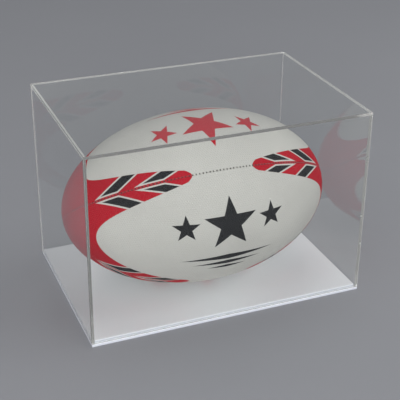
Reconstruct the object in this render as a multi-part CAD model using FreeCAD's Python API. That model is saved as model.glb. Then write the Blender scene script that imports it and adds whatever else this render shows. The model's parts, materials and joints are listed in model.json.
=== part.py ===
"""Acrylic display case with a rugby ball inside.

A clear five-sided cover lifts off a white two-layer base. The ball lies loose on the base.
Frame: +Z up, +X along the case, origin at the middle of the base's underside. Millimetres.
"""

import FreeCAD, Part
import math
import os

from FreeCAD import Vector

os.makedirs("parts", exist_ok=True)

# ---- Case: overall size with the cover standing on the base
case_width = 306.0
case_depth = 205.0
case_height = 211.0
sheet = 3.0             # every acrylic sheet is cut from the same stock
cover_clearance = 0.5   # between the raised plate and the cover's inner faces, each side
rest_gap = 0.1          # under the cover's rim, so that the lifting piece never overlaps the base
edge_break = 0.3        # flame-polished outer edges of the clear cover
base_edge_round = 0.5   # routed edges of the white plates

# ---- Ball: a prolate spheroid with its long axis along X
ball_half_length = 147.0
ball_radius = 92.8
ball_x = -2.0
ball_y = -5.6
ball_gap = 0.3          # between the ball's lowest point and the raised plate
skin = 2.0              # laminated rubber panels
bladder_wall = 0.5
bladder_gap = 0.15      # between the panels and the bladder
bladder_band = 60.0     # the bladder's middle band reaches this far each way along the ball
seam_width = 0.9        # groove between two neighbouring panels
first_seam_deg = 48.0   # angle of the back upper seam about the long axis, from +Y towards +Z
cut_reach = 10.0        # cutting shapes reach this far past what they cut

# ---- Seam thread and valve
thread_width = 0.5
thread_depth = 0.9      # thread's top below the panels' outer face
thread_height = 0.6
thread_end_radius = 9.0  # the thread stops this far from the long axis at each end
valve_deg = -28.0       # low on the back panel, at the ball's middle
valve_radius = 4.2
valve_hole_radius = 4.4
valve_flange_radius = 9.0
valve_flange = 1.4
valve_flange_gap = 0.6  # the flat flange clears the curve of the bladder
valve_sink = 0.3        # the valve's face below the panel's outer face
valve_play = 0.05       # between the stem and the bladder's hole
needle_radius = 0.8

ball_z = 2 * sheet + ball_gap + ball_radius
ball_centre = Vector(ball_x, ball_y, ball_z)


def export(name, shape):
    """Write one solid, or one group of solids, as a STEP file named after its node."""
    if not shape.isValid():
        raise ValueError(name + " is not a valid shape")
    shape.exportStep("parts/" + name + ".step")
    print("%-26s solids %d  volume %.1f mm3" % (name, len(shape.Solids), shape.Volume))


def block(low, high):
    """A box between two corners."""
    size = [h - l for l, h in zip(low, high)]
    return Part.makeBox(size[0], size[1], size[2], Vector(*low))


def edges_where(shape, test):
    """The edges whose two end points both pass a test."""
    return [edge for edge in shape.Edges if all(test(vertex.Point) for vertex in edge.Vertexes)]


def touches(value, target):
    """Whether two lengths are the same, but for rounding."""
    return abs(value - target) < 1e-6


# ---- Clear cover ---------------------------------------------------------------------------

def top_panel():
    """The top lies over the four walls, so its polished edges show all round."""
    plate = block((-case_width / 2, -case_depth / 2, case_height - sheet),
                  (case_width / 2, case_depth / 2, case_height))
    upper = edges_where(plate, lambda p: touches(p.z, case_height))
    corners = [e for e in plate.Edges if touches(e.Length, sheet)]
    return plate.makeChamfer(edge_break, upper + corners)


def long_wall(side):
    """Front (side -1) or back (side +1) wall, the full width of the case."""
    outer = side * case_depth / 2
    inner = outer - side * sheet
    wall = block((-case_width / 2, min(outer, inner), sheet + rest_gap),
                 (case_width / 2, max(outer, inner), case_height - sheet))
    corners = edges_where(wall, lambda p: touches(p.y, outer) and touches(abs(p.x), case_width / 2))
    upright = [e for e in corners if e.Length > sheet * 2 and touches(e.Vertexes[0].X, e.Vertexes[1].X)]
    return wall.makeChamfer(edge_break, upright)


def end_wall(side):
    """Left (side -1) or right (side +1) wall, bonded between the front and back walls."""
    outer = side * case_width / 2
    inner = outer - side * sheet
    reach = case_depth / 2 - sheet
    return block((min(outer, inner), -reach, sheet + rest_gap),
                 (max(outer, inner), reach, case_height - sheet))


# ---- White base ----------------------------------------------------------------------------

def white_plate(half_x, half_y, low):
    """A white sheet with its upper and upright edges rounded."""
    plate = block((-half_x, -half_y, low), (half_x, half_y, low + sheet))
    upper = edges_where(plate, lambda p: touches(p.z, low + sheet))
    corners = [e for e in plate.Edges if touches(e.Length, sheet)]
    return plate.makeFillet(base_edge_round, upper + corners)


def base_plate():
    """The lower plate has the cover's outline, and the cover's rim stands on it."""
    return white_plate(case_width / 2, case_depth / 2, 0.0)


def base_insert():
    """The raised plate fits inside the cover and locates it."""
    inset = sheet + cover_clearance
    return white_plate(case_width / 2 - inset, case_depth / 2 - inset, sheet)


# ---- Ball ----------------------------------------------------------------------------------

def spheroid(depth):
    """A solid spheroid, in two halves joined, its surface the given depth under the ball's outer face."""
    half_length = ball_half_length - depth
    radius = ball_radius - depth
    curve = Part.Ellipse(Vector(0, 0, 0), half_length, radius)
    arc = Part.Arc(curve, 0.0, math.pi).toShape()
    axis = Part.makeLine(Vector(-half_length, 0, 0), Vector(half_length, 0, 0))
    profile = Part.Face(Part.Wire([arc, axis]))
    halves = []
    for start_deg in (-90, 90):
        half = profile.revolve(Vector(0, 0, 0), Vector(1, 0, 0), 180)
        half.rotate(Vector(0, 0, 0), Vector(1, 0, 0), start_deg)
        halves.append(half)
    solid = halves[0].fuse(halves[1])
    solid.translate(ball_centre)
    return solid


def shell(outer_depth, inner_depth):
    """The space between two depths under the ball's outer face."""
    return spheroid(outer_depth).cut(spheroid(inner_depth))


def turned(shape, degrees):
    """Turn a shape about the ball's long axis."""
    shape.rotate(ball_centre, Vector(1, 0, 0), degrees)
    return shape


def quadrant(start_deg):
    """The space of one panel: a quarter of the ball, less half a seam on each side."""
    half_seam = seam_width / 2
    reach_x = ball_half_length + cut_reach
    reach = ball_radius + cut_reach
    corner = block((-reach_x, half_seam, half_seam), (reach_x, reach, reach))
    corner.translate(ball_centre)
    return turned(corner, start_deg)


def valve_cylinder(radius, depth_from, depth_to):
    """A cylinder along the valve's axis between two depths under the ball's outer face."""
    start = ball_centre + Vector(0, ball_radius - depth_to, 0)
    cylinder = Part.makeCylinder(radius, depth_to - depth_from, start, Vector(0, 1, 0))
    return turned(cylinder, valve_deg)


def ball_panel(index):
    """One sewn panel; the last one, at the back, has the valve's hole."""
    panel = shell(0, skin).common(quadrant(first_seam_deg + 90 * index))
    if index == 3:
        panel = panel.cut(valve_cylinder(valve_hole_radius, -cut_reach, skin + cut_reach))
    return panel


def seam_thread(index):
    """The thread lies at the bottom of the groove between two panels."""
    reach_x = ball_half_length + cut_reach
    reach = ball_radius + cut_reach
    slab = block((-reach_x, thread_end_radius, -thread_width / 2), (reach_x, reach, thread_width / 2))
    slab.translate(ball_centre)
    band = shell(thread_depth, thread_depth + thread_height)
    return band.common(turned(slab, first_seam_deg + 90 * index))


def ball_bladder():
    """A closed bag, made as a middle band that holds the valve's hole and two ends joined to it."""
    depth = skin + bladder_gap
    bag = shell(depth, depth + bladder_wall)
    reach = ball_half_length + cut_reach
    cuts = (-reach, -bladder_band, bladder_band, reach)
    parts = []
    for start, end in zip(cuts, cuts[1:]):
        space = block((start, -reach, -reach), (end, reach, reach))
        space.translate(ball_centre)
        parts.append(bag.common(space))
    band = parts[1].cut(valve_cylinder(valve_radius, -cut_reach, depth + cut_reach))
    return band.fuse([parts[0], parts[2]])


def ball_valve():
    """A moulded rubber stem through the panel, with a flange bonded inside the bladder."""
    flange_top = skin + bladder_gap + bladder_wall + valve_flange_gap
    stem = valve_cylinder(valve_radius - valve_play, valve_sink, flange_top + valve_flange)
    flange = valve_cylinder(valve_flange_radius, flange_top, flange_top + valve_flange)
    needle = valve_cylinder(needle_radius, -cut_reach, flange_top + valve_flange / 2)
    return stem.fuse(flange).cut(needle).removeSplitter()


def main():
    """Write every piece of the case and the ball."""
    export("cover_top_panel", top_panel())
    export("cover_front_panel", long_wall(-1))
    export("cover_back_panel", long_wall(1))
    export("cover_left_panel", end_wall(-1))
    export("cover_right_panel", end_wall(1))
    export("base_plate", base_plate())
    export("base_insert", base_insert())
    for index, place in enumerate(("top", "front", "bottom", "back")):
        export("ball_panel_" + place, ball_panel(index))
    for index, place in enumerate(("back_upper", "front_upper", "front_lower", "back_lower")):
        export("seam_thread_" + place, seam_thread(index))
    export("ball_bladder", ball_bladder())
    export("ball_valve", ball_valve())


main()
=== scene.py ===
import math
import random

import bmesh
import bpy
import numpy as np
from mathutils import Matrix, Vector
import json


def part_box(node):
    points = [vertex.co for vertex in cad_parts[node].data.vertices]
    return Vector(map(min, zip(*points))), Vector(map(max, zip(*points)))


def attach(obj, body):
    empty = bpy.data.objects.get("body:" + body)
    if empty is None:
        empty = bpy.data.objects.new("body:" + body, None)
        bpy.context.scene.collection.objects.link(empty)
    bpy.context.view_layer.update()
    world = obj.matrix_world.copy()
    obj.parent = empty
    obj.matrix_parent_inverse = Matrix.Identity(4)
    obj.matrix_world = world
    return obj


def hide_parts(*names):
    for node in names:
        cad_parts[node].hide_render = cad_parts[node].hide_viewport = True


# A clear acrylic display case with a rugby ball lying inside it. Everything is in metres, in the
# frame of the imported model: +Z up, +X along the case, the long front wall facing -Y.

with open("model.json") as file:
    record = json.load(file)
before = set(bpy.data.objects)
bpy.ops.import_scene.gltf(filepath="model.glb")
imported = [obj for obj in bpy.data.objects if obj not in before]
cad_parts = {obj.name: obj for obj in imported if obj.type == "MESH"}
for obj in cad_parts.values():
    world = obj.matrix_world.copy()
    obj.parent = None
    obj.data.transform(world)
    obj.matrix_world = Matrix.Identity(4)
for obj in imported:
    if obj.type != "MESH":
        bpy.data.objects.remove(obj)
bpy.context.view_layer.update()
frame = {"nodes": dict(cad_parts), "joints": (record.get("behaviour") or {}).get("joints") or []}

MM = 0.001
random.seed(7)

# ---- View and light
CAMERA_AZIMUTH = -22.3          # degrees, from straight in front
CAMERA_ELEVATION = 27.07
CAMERA_DISTANCE = 1.110
CAMERA_ROLL = 0.55
CAMERA_TARGET = Vector((0.0051, 0.0, 0.0893))
CAMERA_LENS = 90.2              # millimetres, as is the sensor's width
SENSOR_WIDTH = 36.0
LAMP_DISTANCE = 2.4
# each lamp's name, azimuth, elevation, width and watts
LAMPS = (("key", -22.0, 18.5, 1.1, 37.0), ("right", 80.0, 24.0, 1.3, 18.0),
         ("left_high", -70.0, 50.0, 1.6, 6.7), ("back", 165.0, 62.0, 1.6, 12.0))
FLOOR_RADIUS = 9.0
FLOOR_DROP = 0.0002             # below the base, so that the two never share a plane
WORLD_COLOUR = (0.86, 0.88, 0.92)
WORLD_STRENGTH = 0.30

# ---- Clear cover
BOND_GAP = 0.04 * MM            # the bond line that shows between two panels
POLISHED_BEVEL = 0.3 * MM
FACING = 0.99                   # a face whose normal is this close to a way faces that way
FINISHES = ("clear", "polished", "ground", "satin")
SIDES = {"left": Vector((-1, 0, 0)), "right": Vector((1, 0, 0)), "front": Vector((0, -1, 0)),
         "back": Vector((0, 1, 0)), "top": Vector((0, 0, 1))}
# how finely each cut edge is finished, by panel and by the way the edge faces
EDGE_FINISH = {"top": {"left": "satin", "right": "satin", "front": "polished", "back": "ground"},
               "front": {"left": "polished", "right": "ground", "top": "polished"},
               "back": {"left": "satin", "right": "ground", "top": "satin"},
               "left": {"front": "polished", "back": "satin", "top": "satin"},
               "right": {"front": "ground", "back": "polished", "top": "satin"}}

# ---- Ball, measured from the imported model
BALL_NODES = {"top": 93.0, "front": 183.0, "bottom": 273.0, "back": 3.0}   # middle of each panel
SEAM_ANGLES = {"back_upper": 48.0, "front_upper": 138.0, "front_lower": 228.0, "back_lower": 318.0}
panel_boxes = [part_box("ball_panel_" + place) for place in BALL_NODES]
ball_low = Vector([min(low[i] for low, _ in panel_boxes) for i in range(3)])
ball_high = Vector([max(high[i] for _, high in panel_boxes) for i in range(3)])
HALF_LENGTH = (ball_high.x - ball_low.x) / 2
hinge = next(joint for joint in frame["joints"] if joint["name"] == "ball_turn")
BALL_CENTRE = Vector(hinge["pos_m"])
BALL_RADIUS = BALL_CENTRE.z - ball_low.z
HALF_SEAM = 0.10 * MM           # half the gap between two panels
SKIN = 2.0 * MM
VALLEY_DEPTH = 0.45 * MM
VALLEY_WIDTH = 1.1 * MM
TIP_OPENING = 1.2 * MM          # the panels stop this far from the long axis at the tips
VALVE_ANGLE = math.radians(332.0)
VALVE_HOLE = 4.5 * MM           # radius

# ---- Grid of one panel: columns that shape the seam's valley, then even ones
PANEL_ROWS = 220
NEAR_SEAM = np.array([0.10, 0.4, 0.7, 1.05, 1.5, 2.1, 3.0, 4.2]) * MM
INNER_COLUMNS = 17
CROWDING = 14 * MM              # a panel narrower than this each side has its columns crowded
MOST_CROWDED = 0.02             # but never to less than this share
# the first and last column near a seam stay within these shares of half the panel's width
NARROW_REACH = (0.55, 0.95)
PROFILE_STEPS = 4001            # points along the ball that its surface length is measured through

# ---- Stitches, between needle holes one pitch apart
STITCH_PITCH = 3.7 * MM
STITCH_HALF = 1.45              # half length, in millimetres
STITCH_JITTER = 0.1
END_STITCHES = 2                # this many are left out at each tip
THREAD_SIDES = 6
THREAD_SHARES = (-1.0, -0.75, -0.3, 0.3, 0.75, 1.0)   # where its rings lie, along half a stitch
THREAD_DEPTH = 0.22             # in millimetres, at the stitch's middle
THREAD_DIVE = 0.60              # and this much more at its ends
THREAD_SIZE = (0.42, 0.34)      # half width and half height in millimetres
THREAD_END_SIZE = (0.22, 0.16)
THREAD_END = 0.9                # past this share of half a stitch, a ring has the end size
TANGENT_STEP = 0.0002           # the thread's direction is taken over this length

# ---- Printed pattern on the ball, in millimetres along the ball and away from a seam
WING_TIP = 33.3                 # the red field along a seam starts here, with a blunt tip
WING_SPREAD = 2.3               # how blunt that tip is
WING_WIDENING = 50.0            # how slowly the field widens beyond it: a larger number is slower
WHITE_END = 129.2               # the unprinted field of a panel ends here
WHITE_SPREAD = 6.75             # how blunt that end is
TOP_LEFT_CUT = 125.4            # the top panel's is cut off here at the left
CUT_SLANT = 0.35                # farther out towards the front
CUT_ROUNDING = 2.5
PRINT_SHIFT = 1.3               # the print lies this much to the right of the ball's middle
CHEVRONS = ((69.0, 89.5, 2.5), (110.6, 125.4, 1.6))   # start, end and slant
CHEVRON_GAP = 3.0               # the black bars keep this far from the seam
KEYLINE = 1.6
KEYLINE_GAP = 1.4               # and their keylines this far
STARS = ((0.0, 30.0), (47.0, 15.0))   # distance each way from the middle, and radius
STARS_ABOVE = 16.0              # above the panel's middle line
STAR_WAIST = 0.40               # inner corners, as a share of the radius
# each pinstripe's distance below the panel's middle line, half length and half thickness
PINSTRIPES = ((24.0, 52.0, 3.4), (32.5, 38.0, 2.8), (40.0, 22.0, 2.2))
NEEDLE_HOLE = 0.85              # radius
PIMPLE_PITCH = 2.5

CREAM = (0.62, 0.61, 0.572)
RED = (0.50, 0.001, 0.014)
BLACK = (0.010, 0.011, 0.012)
# a very dark colour: painted shade in the seams' creases, and the needle holes
SEAM_SHADE_AND_HOLES = (0.035, 0.032, 0.030)


# ---- Building materials ----------------------------------------------------------------------

class Field:
    """A number that varies over a surface: a socket that Python's operators combine."""

    def __init__(self, shader, socket):
        self.shader = shader
        self.socket = socket

    def __add__(self, other):
        return self.shader.math("ADD", self, other)

    def __sub__(self, other):
        return self.shader.math("SUBTRACT", self, other)

    def __rsub__(self, other):
        return self.shader.math("SUBTRACT", other, self)

    def __mul__(self, other):
        return self.shader.math("MULTIPLY", self, other)

    def __truediv__(self, other):
        return self.shader.math("DIVIDE", self, other)

    __radd__ = __add__
    __rmul__ = __mul__


class Shader:
    """A material and short ways to add nodes to it."""

    def __init__(self, name):
        self.material = bpy.data.materials.new(name)
        self.material.use_nodes = True
        self.tree = self.material.node_tree
        self.tree.nodes.clear()
        self.output = self.node("ShaderNodeOutputMaterial")

    def node(self, kind, inputs=None, **settings):
        made = self.tree.nodes.new(kind)
        for key, value in settings.items():
            setattr(made, key, value)
        for key, value in (inputs or {}).items():
            self.put(made.inputs[key], value)
        return made

    def put(self, socket, value):
        if isinstance(value, Field):
            value = value.socket
        if isinstance(value, bpy.types.NodeSocket):
            self.tree.links.new(value, socket)
        elif isinstance(value, tuple) and len(value) == 3 and socket.type == "RGBA":
            socket.default_value = value + (1.0,)
        else:
            socket.default_value = value

    def field(self, socket):
        return Field(self, socket)

    def math(self, operation, *values):
        made = self.node("ShaderNodeMath", dict(enumerate(values)), operation=operation)
        return self.field(made.outputs[0])

    def least(self, *values):
        result = values[0]
        for value in values[1:]:
            result = self.math("MINIMUM", result, value)
        return result

    def most(self, *values):
        result = values[0]
        for value in values[1:]:
            result = self.math("MAXIMUM", result, value)
        return result

    def size(self, value):
        return self.math("ABSOLUTE", value)

    def attribute(self, name):
        return self.field(self.node("ShaderNodeAttribute", attribute_name=name).outputs["Fac"])

    def ramp(self, value, low, high, to_low=0.0, to_high=1.0):
        made = self.node("ShaderNodeMapRange", {"Value": value, "From Min": low, "From Max": high,
                                                "To Min": to_low, "To Max": to_high})
        return self.field(made.outputs[0])

    def inside(self, distance, edge=0.35):
        """1 where a signed distance is positive, 0 where it is negative, with a thin soft edge."""
        return self.ramp(distance, -edge / 2, edge / 2)

    def mix(self, factor, first, second):
        made = self.node("ShaderNodeMix", {"Factor": factor}, data_type="RGBA")
        self.put(made.inputs[6], first)
        self.put(made.inputs[7], second)
        return made.outputs[2]

    def place(self):
        return self.node("ShaderNodeTexCoord").outputs["Object"]

    def noise(self, scale, detail=3.0, roughness=0.55, vector=None):
        made = self.node("ShaderNodeTexNoise", {"Vector": vector or self.place(), "Scale": scale,
                                                "Detail": detail, "Roughness": roughness})
        return self.field(made.outputs["Fac"])

    def bump(self, height, distance, strength=1.0):
        made = self.node("ShaderNodeBump", {"Height": height, "Distance": distance, "Strength": strength})
        return made.outputs["Normal"]

    def principled(self, **inputs):
        named = {key.replace("_", " "): value for key, value in inputs.items()}
        return self.node("ShaderNodeBsdfPrincipled", named).outputs[0]

    def finish(self, surface):
        self.put(self.output.inputs["Surface"], surface)
        return self.material


def lets_light_through(shader, surface):
    """Clear sheet bends what is seen through it, but lamps and scattered light pass straight through."""
    path = shader.node("ShaderNodeLightPath")
    clear = shader.node("ShaderNodeBsdfTransparent", {"Color": (0.96, 0.965, 0.96)})
    for ray in ("Is Diffuse Ray", "Is Shadow Ray"):
        mixed = shader.node("ShaderNodeMixShader", {0: path.outputs[ray]})
        shader.put(mixed.inputs[1], surface)
        shader.put(mixed.inputs[2], clear.outputs[0])
        surface = mixed.outputs[0]
    return surface


def clear_acrylic():
    shader = Shader("clear_acrylic")
    surface = shader.principled(Base_Color=(0.985, 0.992, 0.988), Roughness=0.0, IOR=1.49,
                                Transmission_Weight=1.0)
    return shader.finish(lets_light_through(shader, surface))


def sheet_edge(name, clearness, smooth, rough):
    """A sawn edge of the clear sheet, more or less polished, with fine lines along the cut."""
    shader = Shader(name)
    lines = shader.noise(900.0, detail=2.0)
    blotches = shader.noise(60.0, detail=2.0)
    surface = shader.principled(Base_Color=(0.93, 0.93, 0.90), IOR=1.49, Transmission_Weight=clearness,
                                Roughness=shader.ramp(blotches, 0.3, 0.7, smooth, rough),
                                Normal=shader.bump(lines, 0.00004))
    return shader.finish(lets_light_through(shader, surface))


def white_acrylic(name, side, top):
    """Glossy white sheet that ends at a height: its cut sides are painted a darker colour as shade, with
    a painted highlight along their upper rim.
    """
    shader = Shader(name)
    cloud = shader.noise(9.0, detail=2.0)
    scuffs = shader.noise(420.0, detail=4.0, roughness=0.7)
    colour = shader.mix(shader.ramp(cloud, 0.3, 0.7), (0.87, 0.885, 0.915), (0.89, 0.905, 0.935))
    normal = shader.node("ShaderNodeTexCoord").outputs["Normal"]
    facing = shader.node("ShaderNodeSeparateXYZ", {0: normal})
    # faces that stand sideways take the colour side: painted shade on the cut sides
    sideways = shader.ramp(shader.size(shader.field(facing.outputs["Z"])), 0.3, 0.8, 1.0, 0.0)
    height = shader.field(shader.node("ShaderNodeSeparateXYZ", {0: shader.place()}).outputs["Z"])
    # painted highlight: a bright band over the top 1.1 to 1.5 mm of the cut sides
    rim = shader.ramp(height, top - 1.5 * MM, top - 1.1 * MM)
    colour = shader.mix(sideways, colour, shader.mix(rim, side, (0.84, 0.86, 0.92)))
    surface = shader.principled(Base_Color=colour, IOR=1.49, Subsurface_Weight=0.15,
                                Subsurface_Radius=(0.004, 0.004, 0.004), Subsurface_Scale=0.5,
                                Roughness=shader.ramp(scuffs, 0.35, 0.75, 0.12, 0.24),
                                Normal=shader.bump(scuffs, 0.00001))
    return shader.finish(surface)


def star(shader, along, across, radius):
    """Signed distance into a five-pointed star, one point upwards."""
    fifth = 2 * math.pi / 5
    turn = shader.math("ARCTAN2", along, shader.math("MULTIPLY", across, -1.0))
    folded = shader.size(shader.math("PINGPONG", shader.size(turn), fifth / 2))
    reach = shader.math("SQRT", along * along + across * across)
    out = reach * shader.math("COSINE", folded)
    side = reach * shader.math("SINE", folded)
    inner = radius * STAR_WAIST
    corner = Vector((inner * math.cos(fifth / 2), inner * math.sin(fifth / 2)))
    edge = (Vector((radius, 0.0)) - corner).normalized()
    return (out - radius) * edge.y - side * edge.x


def with_chevrons(shader, colour, cream, along, seam, wing):
    """Add black bars with a cream keyline, slanting away from the seam."""
    for start, end, slant in CHEVRONS:
        run = shader.size(along) + seam * slant
        bar = shader.least(run - start, end - run) / math.hypot(1.0, slant)
        keyline = shader.least(bar + KEYLINE, seam - KEYLINE_GAP, wing)
        colour = shader.mix(shader.inside(keyline), colour, cream)
        colour = shader.mix(shader.inside(shader.least(bar, seam - CHEVRON_GAP, wing)), colour, BLACK)
    return colour


def motif(shader, along, across):
    """Signed distance into the panel's plain stars and pinstripes."""
    far = shader.size(along)
    marks = []
    for middle, radius in STARS:
        marks.append(star(shader, far - middle if middle else along, across + STARS_ABOVE, radius))
    for offset, half, thick in PINSTRIPES:
        taper = thick - far * (thick / half)
        marks.append(taper - shader.size(across - offset))
    return shader.most(*marks)


def with_seam_marks(shader, colour, seam, meridian):
    """Add painted shade in the seams' creases, and dark needle holes between the stitches."""
    # painted shade: the skin is darkened by up to a fifth within 0.7 mm of a seam, where its crease is
    # shaded
    colour = shader.mix(shader.ramp(seam, 0.1, 0.7, 0.20, 0.0), colour, SEAM_SHADE_AND_HOLES)
    past_hole = shader.math("PINGPONG", meridian, STITCH_PITCH / MM / 2)
    hole = NEEDLE_HOLE - shader.math("SQRT", past_hole * past_hole + seam * seam)
    return shader.mix(shader.inside(hole, 0.5), colour, SEAM_SHADE_AND_HOLES)


def skin_material(name, ink):
    """Pimpled rubber with red fields and chevrons along the seams and a plain motif on the panel."""
    shader = Shader(name)
    along = shader.attribute("along")
    across = shader.attribute("across")
    seam = shader.attribute("seam")
    wing = shader.attribute("wing")
    meridian = shader.attribute("meridian")

    # Plain colours, with faint staining over the whole ball
    stain = shader.noise(18.0, detail=4.0)
    cream = shader.mix(shader.ramp(stain, 0.35, 0.7), CREAM, tuple(c * 0.93 for c in CREAM))
    red = shader.mix(shader.ramp(stain, 0.35, 0.7), RED, tuple(c * 0.88 for c in RED))

    colour = shader.mix(shader.inside(wing), cream, red)
    colour = with_chevrons(shader, colour, cream, along, seam, wing)
    colour = shader.mix(shader.inside(motif(shader, along, across)), colour, ink)
    colour = with_seam_marks(shader, colour, seam, meridian)

    # The pimples are spaced along the skin, so that they stay round at the tips
    height = pimples(shader, meridian, across)
    rough = shader.ramp(stain, 0.3, 0.7, 0.60, 0.72)
    surface = shader.principled(Base_Color=colour, Roughness=rough, Specular_IOR_Level=0.05,
                                Normal=shader.bump(height, 0.00026, 0.8))
    return shader.finish(surface)


def pimples(shader, along, across):
    """Round pimples on a triangular lattice, as a height from 0 to 1."""
    rise = math.sqrt(3.0)
    heights = []
    for shift in (0.0, 0.5):
        column = shader.math("FRACT", along / PIMPLE_PITCH + shift + 0.5) - 0.5
        row = (shader.math("FRACT", across / (PIMPLE_PITCH * rise) + shift + 0.5) - 0.5) * rise
        reach = shader.math("SQRT", column * column + row * row)
        heights.append(shader.ramp(reach, 0.16, 0.36, 1.0, 0.0))
    return shader.most(*heights)


def thread_material():
    """Pale waxed thread, red where the ball's print covers it."""
    shader = Shader("seam_thread")
    twist = shader.noise(2600.0, detail=2.0)
    pale = shader.mix(twist, (0.70, 0.69, 0.64), (0.52, 0.50, 0.45))
    printed = shader.mix(twist, RED, tuple(c * 0.6 for c in RED))
    colour = shader.mix(shader.inside(shader.attribute("wing")), pale, printed)
    surface = shader.principled(Base_Color=colour, Roughness=0.7, Sheen_Weight=0.3,
                                Normal=shader.bump(twist, 0.00005))
    return shader.finish(surface)


def dark_rubber(name, grey, scale):
    shader = Shader(name)
    grain = shader.noise(scale, detail=4.0)
    colour = shader.mix(grain, (grey, grey, grey), (grey * 1.6, grey * 1.6, grey * 1.65))
    surface = shader.principled(Base_Color=colour, Roughness=shader.ramp(grain, 0.3, 0.7, 0.5, 0.75),
                                Normal=shader.bump(grain, 0.00004))
    return shader.finish(surface)


def floor_material():
    shader = Shader("studio_floor")
    grain = shader.noise(3.0, detail=5.0)
    colour = shader.mix(grain, (0.28, 0.285, 0.305), (0.30, 0.305, 0.325))
    surface = shader.principled(Base_Color=colour, Roughness=0.85)
    return shader.finish(surface)


# ---- Meshes ----------------------------------------------------------------------------------

def object_from(name, points, faces, body=None, materials=(), smooth=True):
    """Make a mesh object; with a body, it is a piece that rides on it."""
    mesh = bpy.data.meshes.new(name)
    mesh.from_pydata([tuple(p) for p in points], [], faces)
    mesh.update()
    for material in materials:
        mesh.materials.append(material)
    mesh.polygons.foreach_set("use_smooth", [smooth] * len(mesh.polygons))
    made = bpy.data.objects.new(name, mesh)
    bpy.context.scene.collection.objects.link(made)
    if body:
        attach(made, body)
    return made


def bevelled_block(low, high, polished):
    """A box between two corners, with a bevel on the edges whose middle point passes a test."""
    built = bmesh.new()
    bmesh.ops.create_cube(built, size=1.0)
    for vertex in built.verts:
        for axis in range(3):
            share = vertex.co[axis] + 0.5
            vertex.co[axis] = low[axis] * (1 - share) + high[axis] * share
    edges = [e for e in built.edges if polished((e.verts[0].co + e.verts[1].co) / 2)]
    bmesh.ops.bevel(built, geom=edges, offset=POLISHED_BEVEL, segments=2, affect="EDGES", profile=0.5)
    bmesh.ops.recalc_face_normals(built, faces=built.faces)
    return built


def clear_panel(place, thin, open_sides, polished):
    """One sheet of the cover. thin is its thin axis; open_sides are the sides that aren't bonded.

    polished tells which edges, by their middle point, are outer ones that get a bevel.
    """
    node = "cover_" + place + "_panel"
    low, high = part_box(node)
    for axis in range(3):
        if axis == thin:
            continue
        for side, corner in ((-1, low), (1, high)):
            if (axis, side) not in open_sides:
                corner[axis] -= side * BOND_GAP
    built = bevelled_block(low, high, polished)
    for face in built.faces:
        wide = abs(face.normal[thin]) > FACING
        face.material_index = 0 if wide else FINISHES.index(edge_finish(place, face.normal))
    mesh = bpy.data.meshes.new("clear_" + place + "_sheet")
    built.to_mesh(mesh)
    built.free()
    for name in FINISHES:
        mesh.materials.append(materials[name])
    made = bpy.data.objects.new(mesh.name, mesh)
    bpy.context.scene.collection.objects.link(made)
    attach(made, "cover")
    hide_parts(node)


def edge_finish(place, normal):
    """How finely a cut edge is finished: the saw left some of them cloudier than others."""
    for side, way in SIDES.items():
        if normal.dot(way) > FACING:
            return EDGE_FINISH[place].get(side, "polished")
    return "polished"


def near(value, target):
    return abs(value - target) < 1e-6


def build_cover():
    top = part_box("cover_top_panel")[1]

    def upright(p):
        return near(abs(p.x), top.x) and near(abs(p.y), top.y)

    def upper_or_upright(p):
        return near(p.z, top.z) or upright(p)

    clear_panel("top", 2, {(0, -1), (0, 1), (1, -1), (1, 1)}, upper_or_upright)
    for place in ("front", "back"):
        clear_panel(place, 1, {(0, -1), (0, 1), (2, -1)}, upright)
    for place in ("left", "right"):
        clear_panel(place, 0, {(2, -1)}, lambda p: False)


def radius_at(along):
    """The ball's radius at a distance along it from its middle."""
    return BALL_RADIUS * np.sqrt(np.clip(1 - (along / HALF_LENGTH) ** 2, 0, None))


def into_red(along, middle_distance, seam_distance, cut):
    """Signed distance into the red field, in millimetres: positive inside it."""
    far = np.abs(along)
    # outside the unprinted field, whose end is a parabola about the panel's middle
    slope = 2 * middle_distance / WHITE_SPREAD ** 2
    off_white = (far - WHITE_END + (middle_distance / WHITE_SPREAD) ** 2) / np.hypot(1, slope)
    # inside the wing, whose blunt tip is a parabola about the seam and which widens beyond it
    past_tip = far - WING_TIP
    reach = seam_distance - np.clip(past_tip, 0, None) ** 2 / WING_WIDENING
    spread = WING_SPREAD ** 2
    off_tip = (spread * past_tip - reach * np.abs(reach)) / np.hypot(spread, 2 * reach)
    red = np.minimum(off_white, off_tip)
    beyond = far - cut
    return (red + beyond + np.hypot(red - beyond, CUT_ROUNDING)) / 2


def on_ball(along, angle, depth):
    """Points under the ball's outer face, at a distance along it and an angle about its long axis."""
    radius = radius_at(along)
    # the outward direction of the spheroid, in the plane of the long axis
    lean = along / HALF_LENGTH ** 2
    rise = radius / BALL_RADIUS ** 2
    length = np.hypot(lean, rise)
    out_x = lean / length
    out_r = rise / length
    reach = radius - depth * out_r
    return np.stack([BALL_CENTRE.x + along - depth * out_x,
                     BALL_CENTRE.y + reach * np.cos(angle),
                     BALL_CENTRE.z + reach * np.sin(angle)], axis=-1)


STEPS = np.linspace(-HALF_LENGTH, HALF_LENGTH, PROFILE_STEPS)
PROFILE = on_ball(STEPS, np.zeros_like(STEPS), np.zeros_like(STEPS))
LENGTHS = np.concatenate([[0.0], np.cumsum(np.linalg.norm(np.diff(PROFILE, axis=0), axis=1))])


def meridian_length(along):
    """How far it is along the skin from the ball's left tip, whole stitches long at the right one."""
    whole = round(LENGTHS[-1] / STITCH_PITCH) * STITCH_PITCH
    return np.interp(along, STEPS, LENGTHS * whole / LENGTHS[-1])


def valley(distance):
    """How far the skin dips towards a seam."""
    return VALLEY_DEPTH * np.exp(-((distance - HALF_SEAM) / VALLEY_WIDTH) ** 2)


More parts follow.
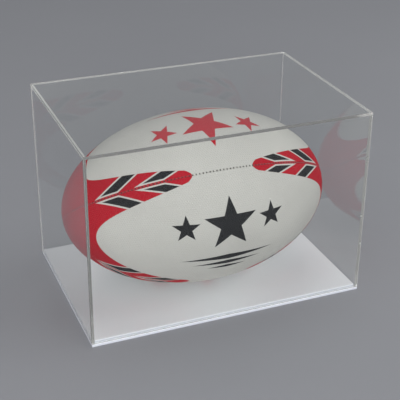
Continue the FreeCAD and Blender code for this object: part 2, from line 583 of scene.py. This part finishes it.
def panel_grid():
    """Where a panel's points lie: along the ball, from the nearer seam and from its middle line."""
    first = math.asin(TIP_OPENING / BALL_RADIUS)
    along = -HALF_LENGTH * np.cos(np.linspace(first, math.pi - first, PANEL_ROWS))
    half_width = (math.pi / 4 * radius_at(along))[:, None]
    shrink = np.clip(half_width / CROWDING, MOST_CROWDED, 1.0)
    edge = HALF_SEAM + (NEAR_SEAM - HALF_SEAM)[None, :] * shrink
    edge = np.minimum(edge, half_width * np.linspace(*NARROW_REACH, len(NEAR_SEAM)))
    start = edge[:, -1:]
    spread = start + (half_width - start) * np.linspace(0, 1, INNER_COLUMNS + 1)[None, 1:]
    from_seam = np.concatenate([edge, spread], axis=1)
    from_middle = half_width - from_seam
    distance = np.concatenate([from_seam, from_seam[:, -2::-1]], axis=1)
    signed = np.concatenate([-from_middle, from_middle[:, -2::-1]], axis=1)
    return np.repeat(along[:, None], distance.shape[1], axis=1), distance, signed


def panel_faces(rows, columns):
    """Faces of a closed sheet: the outer grid, the inner one behind it, and the rim between them."""
    count = rows * columns
    faces = []
    for row in range(rows - 1):
        for column in range(columns - 1):
            a = row * columns + column
            b, c, d = a + 1, a + columns + 1, a + columns
            faces.append((a, b, c, d))
            faces.append((count + d, count + c, count + b, count + a))
    border = [row * columns for row in range(rows)]
    border += [(rows - 1) * columns + column for column in range(1, columns)]
    border += [row * columns + columns - 1 for row in range(rows - 2, -1, -1)]
    border += [column for column in range(columns - 2, 0, -1)]
    for first, second in zip(border, border[1:] + border[:1]):
        faces.append((first, second, count + second, count + first))
    return faces


def build_panel(place, material):
    """One sewn panel: an outer face that rolls in towards its seams, an inner face and a rim."""
    along, distance, signed = panel_grid()
    angle = math.radians(BALL_NODES[place]) + signed / np.maximum(radius_at(along), 1e-6)
    outer = on_ball(along, angle, valley(distance)).reshape(-1, 3)
    inner = on_ball(along, angle, SKIN).reshape(-1, 3)
    points = np.concatenate([outer, inner])
    faces = panel_faces(*distance.shape)
    made = object_from("skin_" + place, points, faces, "ball", [material])
    fix_normals(made)
    if place == "back":
        cut_hole(made, VALVE_ANGLE, VALVE_HOLE)
    add_print_values(made, place)
    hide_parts("ball_panel_" + place)


def add_print_values(made, place):
    """Store on each point where it lies in its panel's print: the skin material reads these."""
    middle = math.radians(BALL_NODES[place])
    downward = 1.0 if place in ("front", "bottom") else -1.0
    mesh = made.data
    points = np.empty(len(mesh.vertices) * 3, dtype=np.float32)
    mesh.vertices.foreach_get("co", points)
    points = points.reshape(-1, 3) - np.array(BALL_CENTRE)
    along = np.clip(points[:, 0], -HALF_LENGTH, HALF_LENGTH)
    angle = np.arctan2(points[:, 2], points[:, 1]) - middle
    angle = (angle + math.pi) % (2 * math.pi) - math.pi
    radius = radius_at(along)
    signed = angle * radius / MM
    seam = np.clip(math.pi / 4 * radius / MM - np.abs(signed), 0, None)
    printed = along / MM - PRINT_SHIFT
    cut = np.where((printed < 0) & (place == "top"), TOP_LEFT_CUT + CUT_SLANT * signed, 2 * WHITE_END)
    values = {"along": printed, "across": downward * signed, "seam": seam,
              "wing": into_red(printed, np.abs(signed), seam, cut),
              "meridian": meridian_length(along) / MM}
    for name, numbers in values.items():
        attribute = mesh.attributes.new(name, "FLOAT", "POINT")
        attribute.data.foreach_set("value", numbers.astype(np.float32))


def cut_hole(made, angle, radius):
    """Cut a round hole through the skin at the ball's middle, at an angle about its long axis."""
    outward = Vector((0, math.cos(angle), math.sin(angle)))
    across = Vector((1, 0, 0))
    side = outward.cross(across)
    points = []
    sides = 32
    for reach in (BALL_RADIUS - 3 * SKIN, BALL_RADIUS + SKIN):
        for step in range(sides):
            a = 2 * math.pi * step / sides
            round_axis = (across * math.cos(a) + side * math.sin(a)) * radius
            points.append(BALL_CENTRE + outward * reach + round_axis)
    faces = [(i, (i + 1) % sides, (i + 1) % sides + sides, i + sides) for i in range(sides)]
    faces += [tuple(reversed(range(sides))), tuple(range(sides, 2 * sides))]
    cutter = object_from("hole_cutter", points, faces)
    fix_normals(cutter)
    hole = made.modifiers.new("hole", "BOOLEAN")
    hole.object = cutter
    hole.solver = "EXACT"
    shape = made.evaluated_get(bpy.context.evaluated_depsgraph_get())
    whole = made.data
    made.data = bpy.data.meshes.new_from_object(shape)
    made.data.name = made.name
    made.modifiers.clear()
    bpy.data.meshes.remove(whole)
    bpy.data.objects.remove(cutter)


def fix_normals(made):
    built = bmesh.new()
    built.from_mesh(made.data)
    bmesh.ops.recalc_face_normals(built, faces=built.faces)
    built.to_mesh(made.data)
    built.free()


def stitch_rings(centre, half, angle, lengths):
    """Rings of points round one stitch, which dives into the skin at both ends."""
    outward = Vector((0, math.cos(angle), math.sin(angle)))
    rings = []
    for share in THREAD_SHARES:
        along = np.interp(centre + share * half, lengths, STEPS)
        depth = (THREAD_DEPTH + THREAD_DIVE * share ** 4) * MM
        middle, ahead = on_ball(np.array([along, along + TANGENT_STEP]), np.array([angle, angle]), depth)
        tangent = Vector(ahead - middle).normalized()
        upward = (outward - tangent * outward.dot(tangent)).normalized()
        sideways = tangent.cross(upward)
        wide, tall = THREAD_SIZE if abs(share) < THREAD_END else THREAD_END_SIZE
        ring = []
        for side in range(THREAD_SIDES):
            a = 2 * math.pi * side / THREAD_SIDES
            spot = Vector(middle) + sideways * (wide * MM * math.cos(a))
            ring.append(spot + upward * (tall * MM * math.sin(a)))
        rings.append(ring)
    return rings


def add_tube(rings, points, faces):
    """Add one stitch's rings to the points, and the faces that join and close them."""
    numbers = []
    for ring in rings:
        numbers.append(list(range(len(points), len(points) + len(ring))))
        points.extend(ring)
    for first, second in zip(numbers, numbers[1:]):
        for side in range(THREAD_SIDES):
            after = (side + 1) % THREAD_SIDES
            faces.append((first[side], first[after], second[after], second[side]))
    faces.append(tuple(reversed(numbers[0])))
    faces.append(tuple(numbers[-1]))


def build_thread(place, material):
    """A running stitch in the seam: short dashes of thread between the needle holes."""
    angle = math.radians(SEAM_ANGLES[place])
    points = []
    faces = []
    lengths = meridian_length(STEPS)
    count = round(lengths[-1] / STITCH_PITCH)
    for stitch in range(END_STITCHES, count - END_STITCHES):
        centre = (stitch + 0.5) * STITCH_PITCH + random.uniform(-STITCH_JITTER, STITCH_JITTER) * MM
        half = (STITCH_HALF + random.uniform(-STITCH_JITTER, STITCH_JITTER)) * MM
        add_tube(stitch_rings(centre, half, angle, lengths), points, faces)
    made = object_from("stitching_" + place, points, faces, "ball", [material])
    fix_normals(made)
    into_print = [abs(vertex.co.x - BALL_CENTRE.x - PRINT_SHIFT * MM) / MM - WING_TIP
                  for vertex in made.data.vertices]
    attribute = made.data.attributes.new("wing", "FLOAT", "POINT")
    attribute.data.foreach_set("value", into_print)
    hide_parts("seam_thread_" + place)


def repaint(node, material):
    """Give a CAD node that keeps its shape a better material."""
    mesh = frame["nodes"][node]
    for slot in mesh.material_slots:
        slot.material = material


# ---- Stage -----------------------------------------------------------------------------------

def build_floor():
    points = [(0.0, 0.0, 0.0)]
    sides = 96
    for side in range(sides):
        angle = 2 * math.pi * side / sides
        points.append((FLOOR_RADIUS * math.cos(angle), FLOOR_RADIUS * math.sin(angle), 0.0))
    faces = [(0, side + 1, (side + 1) % sides + 1) for side in range(sides)]
    made = object_from("studio_floor", points, faces, materials=[floor_material()])
    made.location.z = -FLOOR_DROP


def direction(azimuth, elevation):
    """The way from the object to a camera or lamp, in degrees from straight in front and from level."""
    turn = math.radians(azimuth)
    rise = math.radians(elevation)
    return Vector((math.sin(turn) * math.cos(rise), -math.cos(turn) * math.cos(rise), math.sin(rise)))


def add_lamp(name, azimuth, elevation, width, watts):
    data = bpy.data.lights.new(name, "AREA")
    data.shape = "SQUARE"
    data.size = width
    data.energy = watts
    lamp = bpy.data.objects.new(name, data)
    bpy.context.scene.collection.objects.link(lamp)
    away = direction(azimuth, elevation)
    lamp.location = BALL_CENTRE + away * LAMP_DISTANCE
    lamp.rotation_euler = away.to_track_quat("Z", "Y").to_euler()


def build_light():
    world = bpy.data.worlds.new("studio")
    world.use_nodes = True
    background = world.node_tree.nodes["Background"]
    background.inputs["Color"].default_value = WORLD_COLOUR + (1.0,)
    background.inputs["Strength"].default_value = WORLD_STRENGTH
    bpy.context.scene.world = world
    bpy.context.scene.view_settings.view_transform = "Standard"
    for lamp in LAMPS:
        add_lamp(*lamp)


def build_camera():
    roll = math.radians(CAMERA_ROLL)
    back = direction(CAMERA_AZIMUTH, CAMERA_ELEVATION)
    right = (-back).cross(Vector((0, 0, 1))).normalized()
    up = right.cross(-back)
    turned_right = right * math.cos(roll) + up * math.sin(roll)
    turned_up = up * math.cos(roll) - right * math.sin(roll)
    data = bpy.data.cameras.new("camera")
    data.lens = CAMERA_LENS
    data.sensor_width = SENSOR_WIDTH
    camera = bpy.data.objects.new("camera", data)
    bpy.context.scene.collection.objects.link(camera)
    axes = Matrix((turned_right, turned_up, back)).transposed()
    camera.matrix_world = Matrix.Translation(CAMERA_TARGET + back * CAMERA_DISTANCE) @ axes.to_4x4()
    bpy.context.scene.camera = camera


# ---- The scene -------------------------------------------------------------------------------

build_camera()
build_light()
build_floor()

materials = {"clear": clear_acrylic(), "polished": sheet_edge("polished_edge", 0.76, 0.10, 0.26),
             "ground": sheet_edge("ground_edge", 0.64, 0.14, 0.30),
             "satin": sheet_edge("satin_edge", 0.46, 0.30, 0.45)}
build_cover()

# each white sheet's cut sides are painted a darker colour as shade, with a painted highlight at their
# upper rim
repaint("base_plate", white_acrylic("white_plate", (0.80, 0.82, 0.90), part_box("base_plate")[1].z))
repaint("base_insert", white_acrylic("white_insert", (0.62, 0.64, 0.69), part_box("base_insert")[1].z))

black_print = skin_material("ball_skin_black_print", BLACK)
red_print = skin_material("ball_skin_red_print", RED)
for place in BALL_NODES:
    build_panel(place, black_print if place in ("front", "back") else red_print)
thread = thread_material()
for place in SEAM_ANGLES:
    build_thread(place, thread)
repaint("ball_bladder", dark_rubber("bladder_rubber", 0.02, 300.0))
repaint("ball_valve", dark_rubber("valve_rubber", 0.03, 900.0))

import json
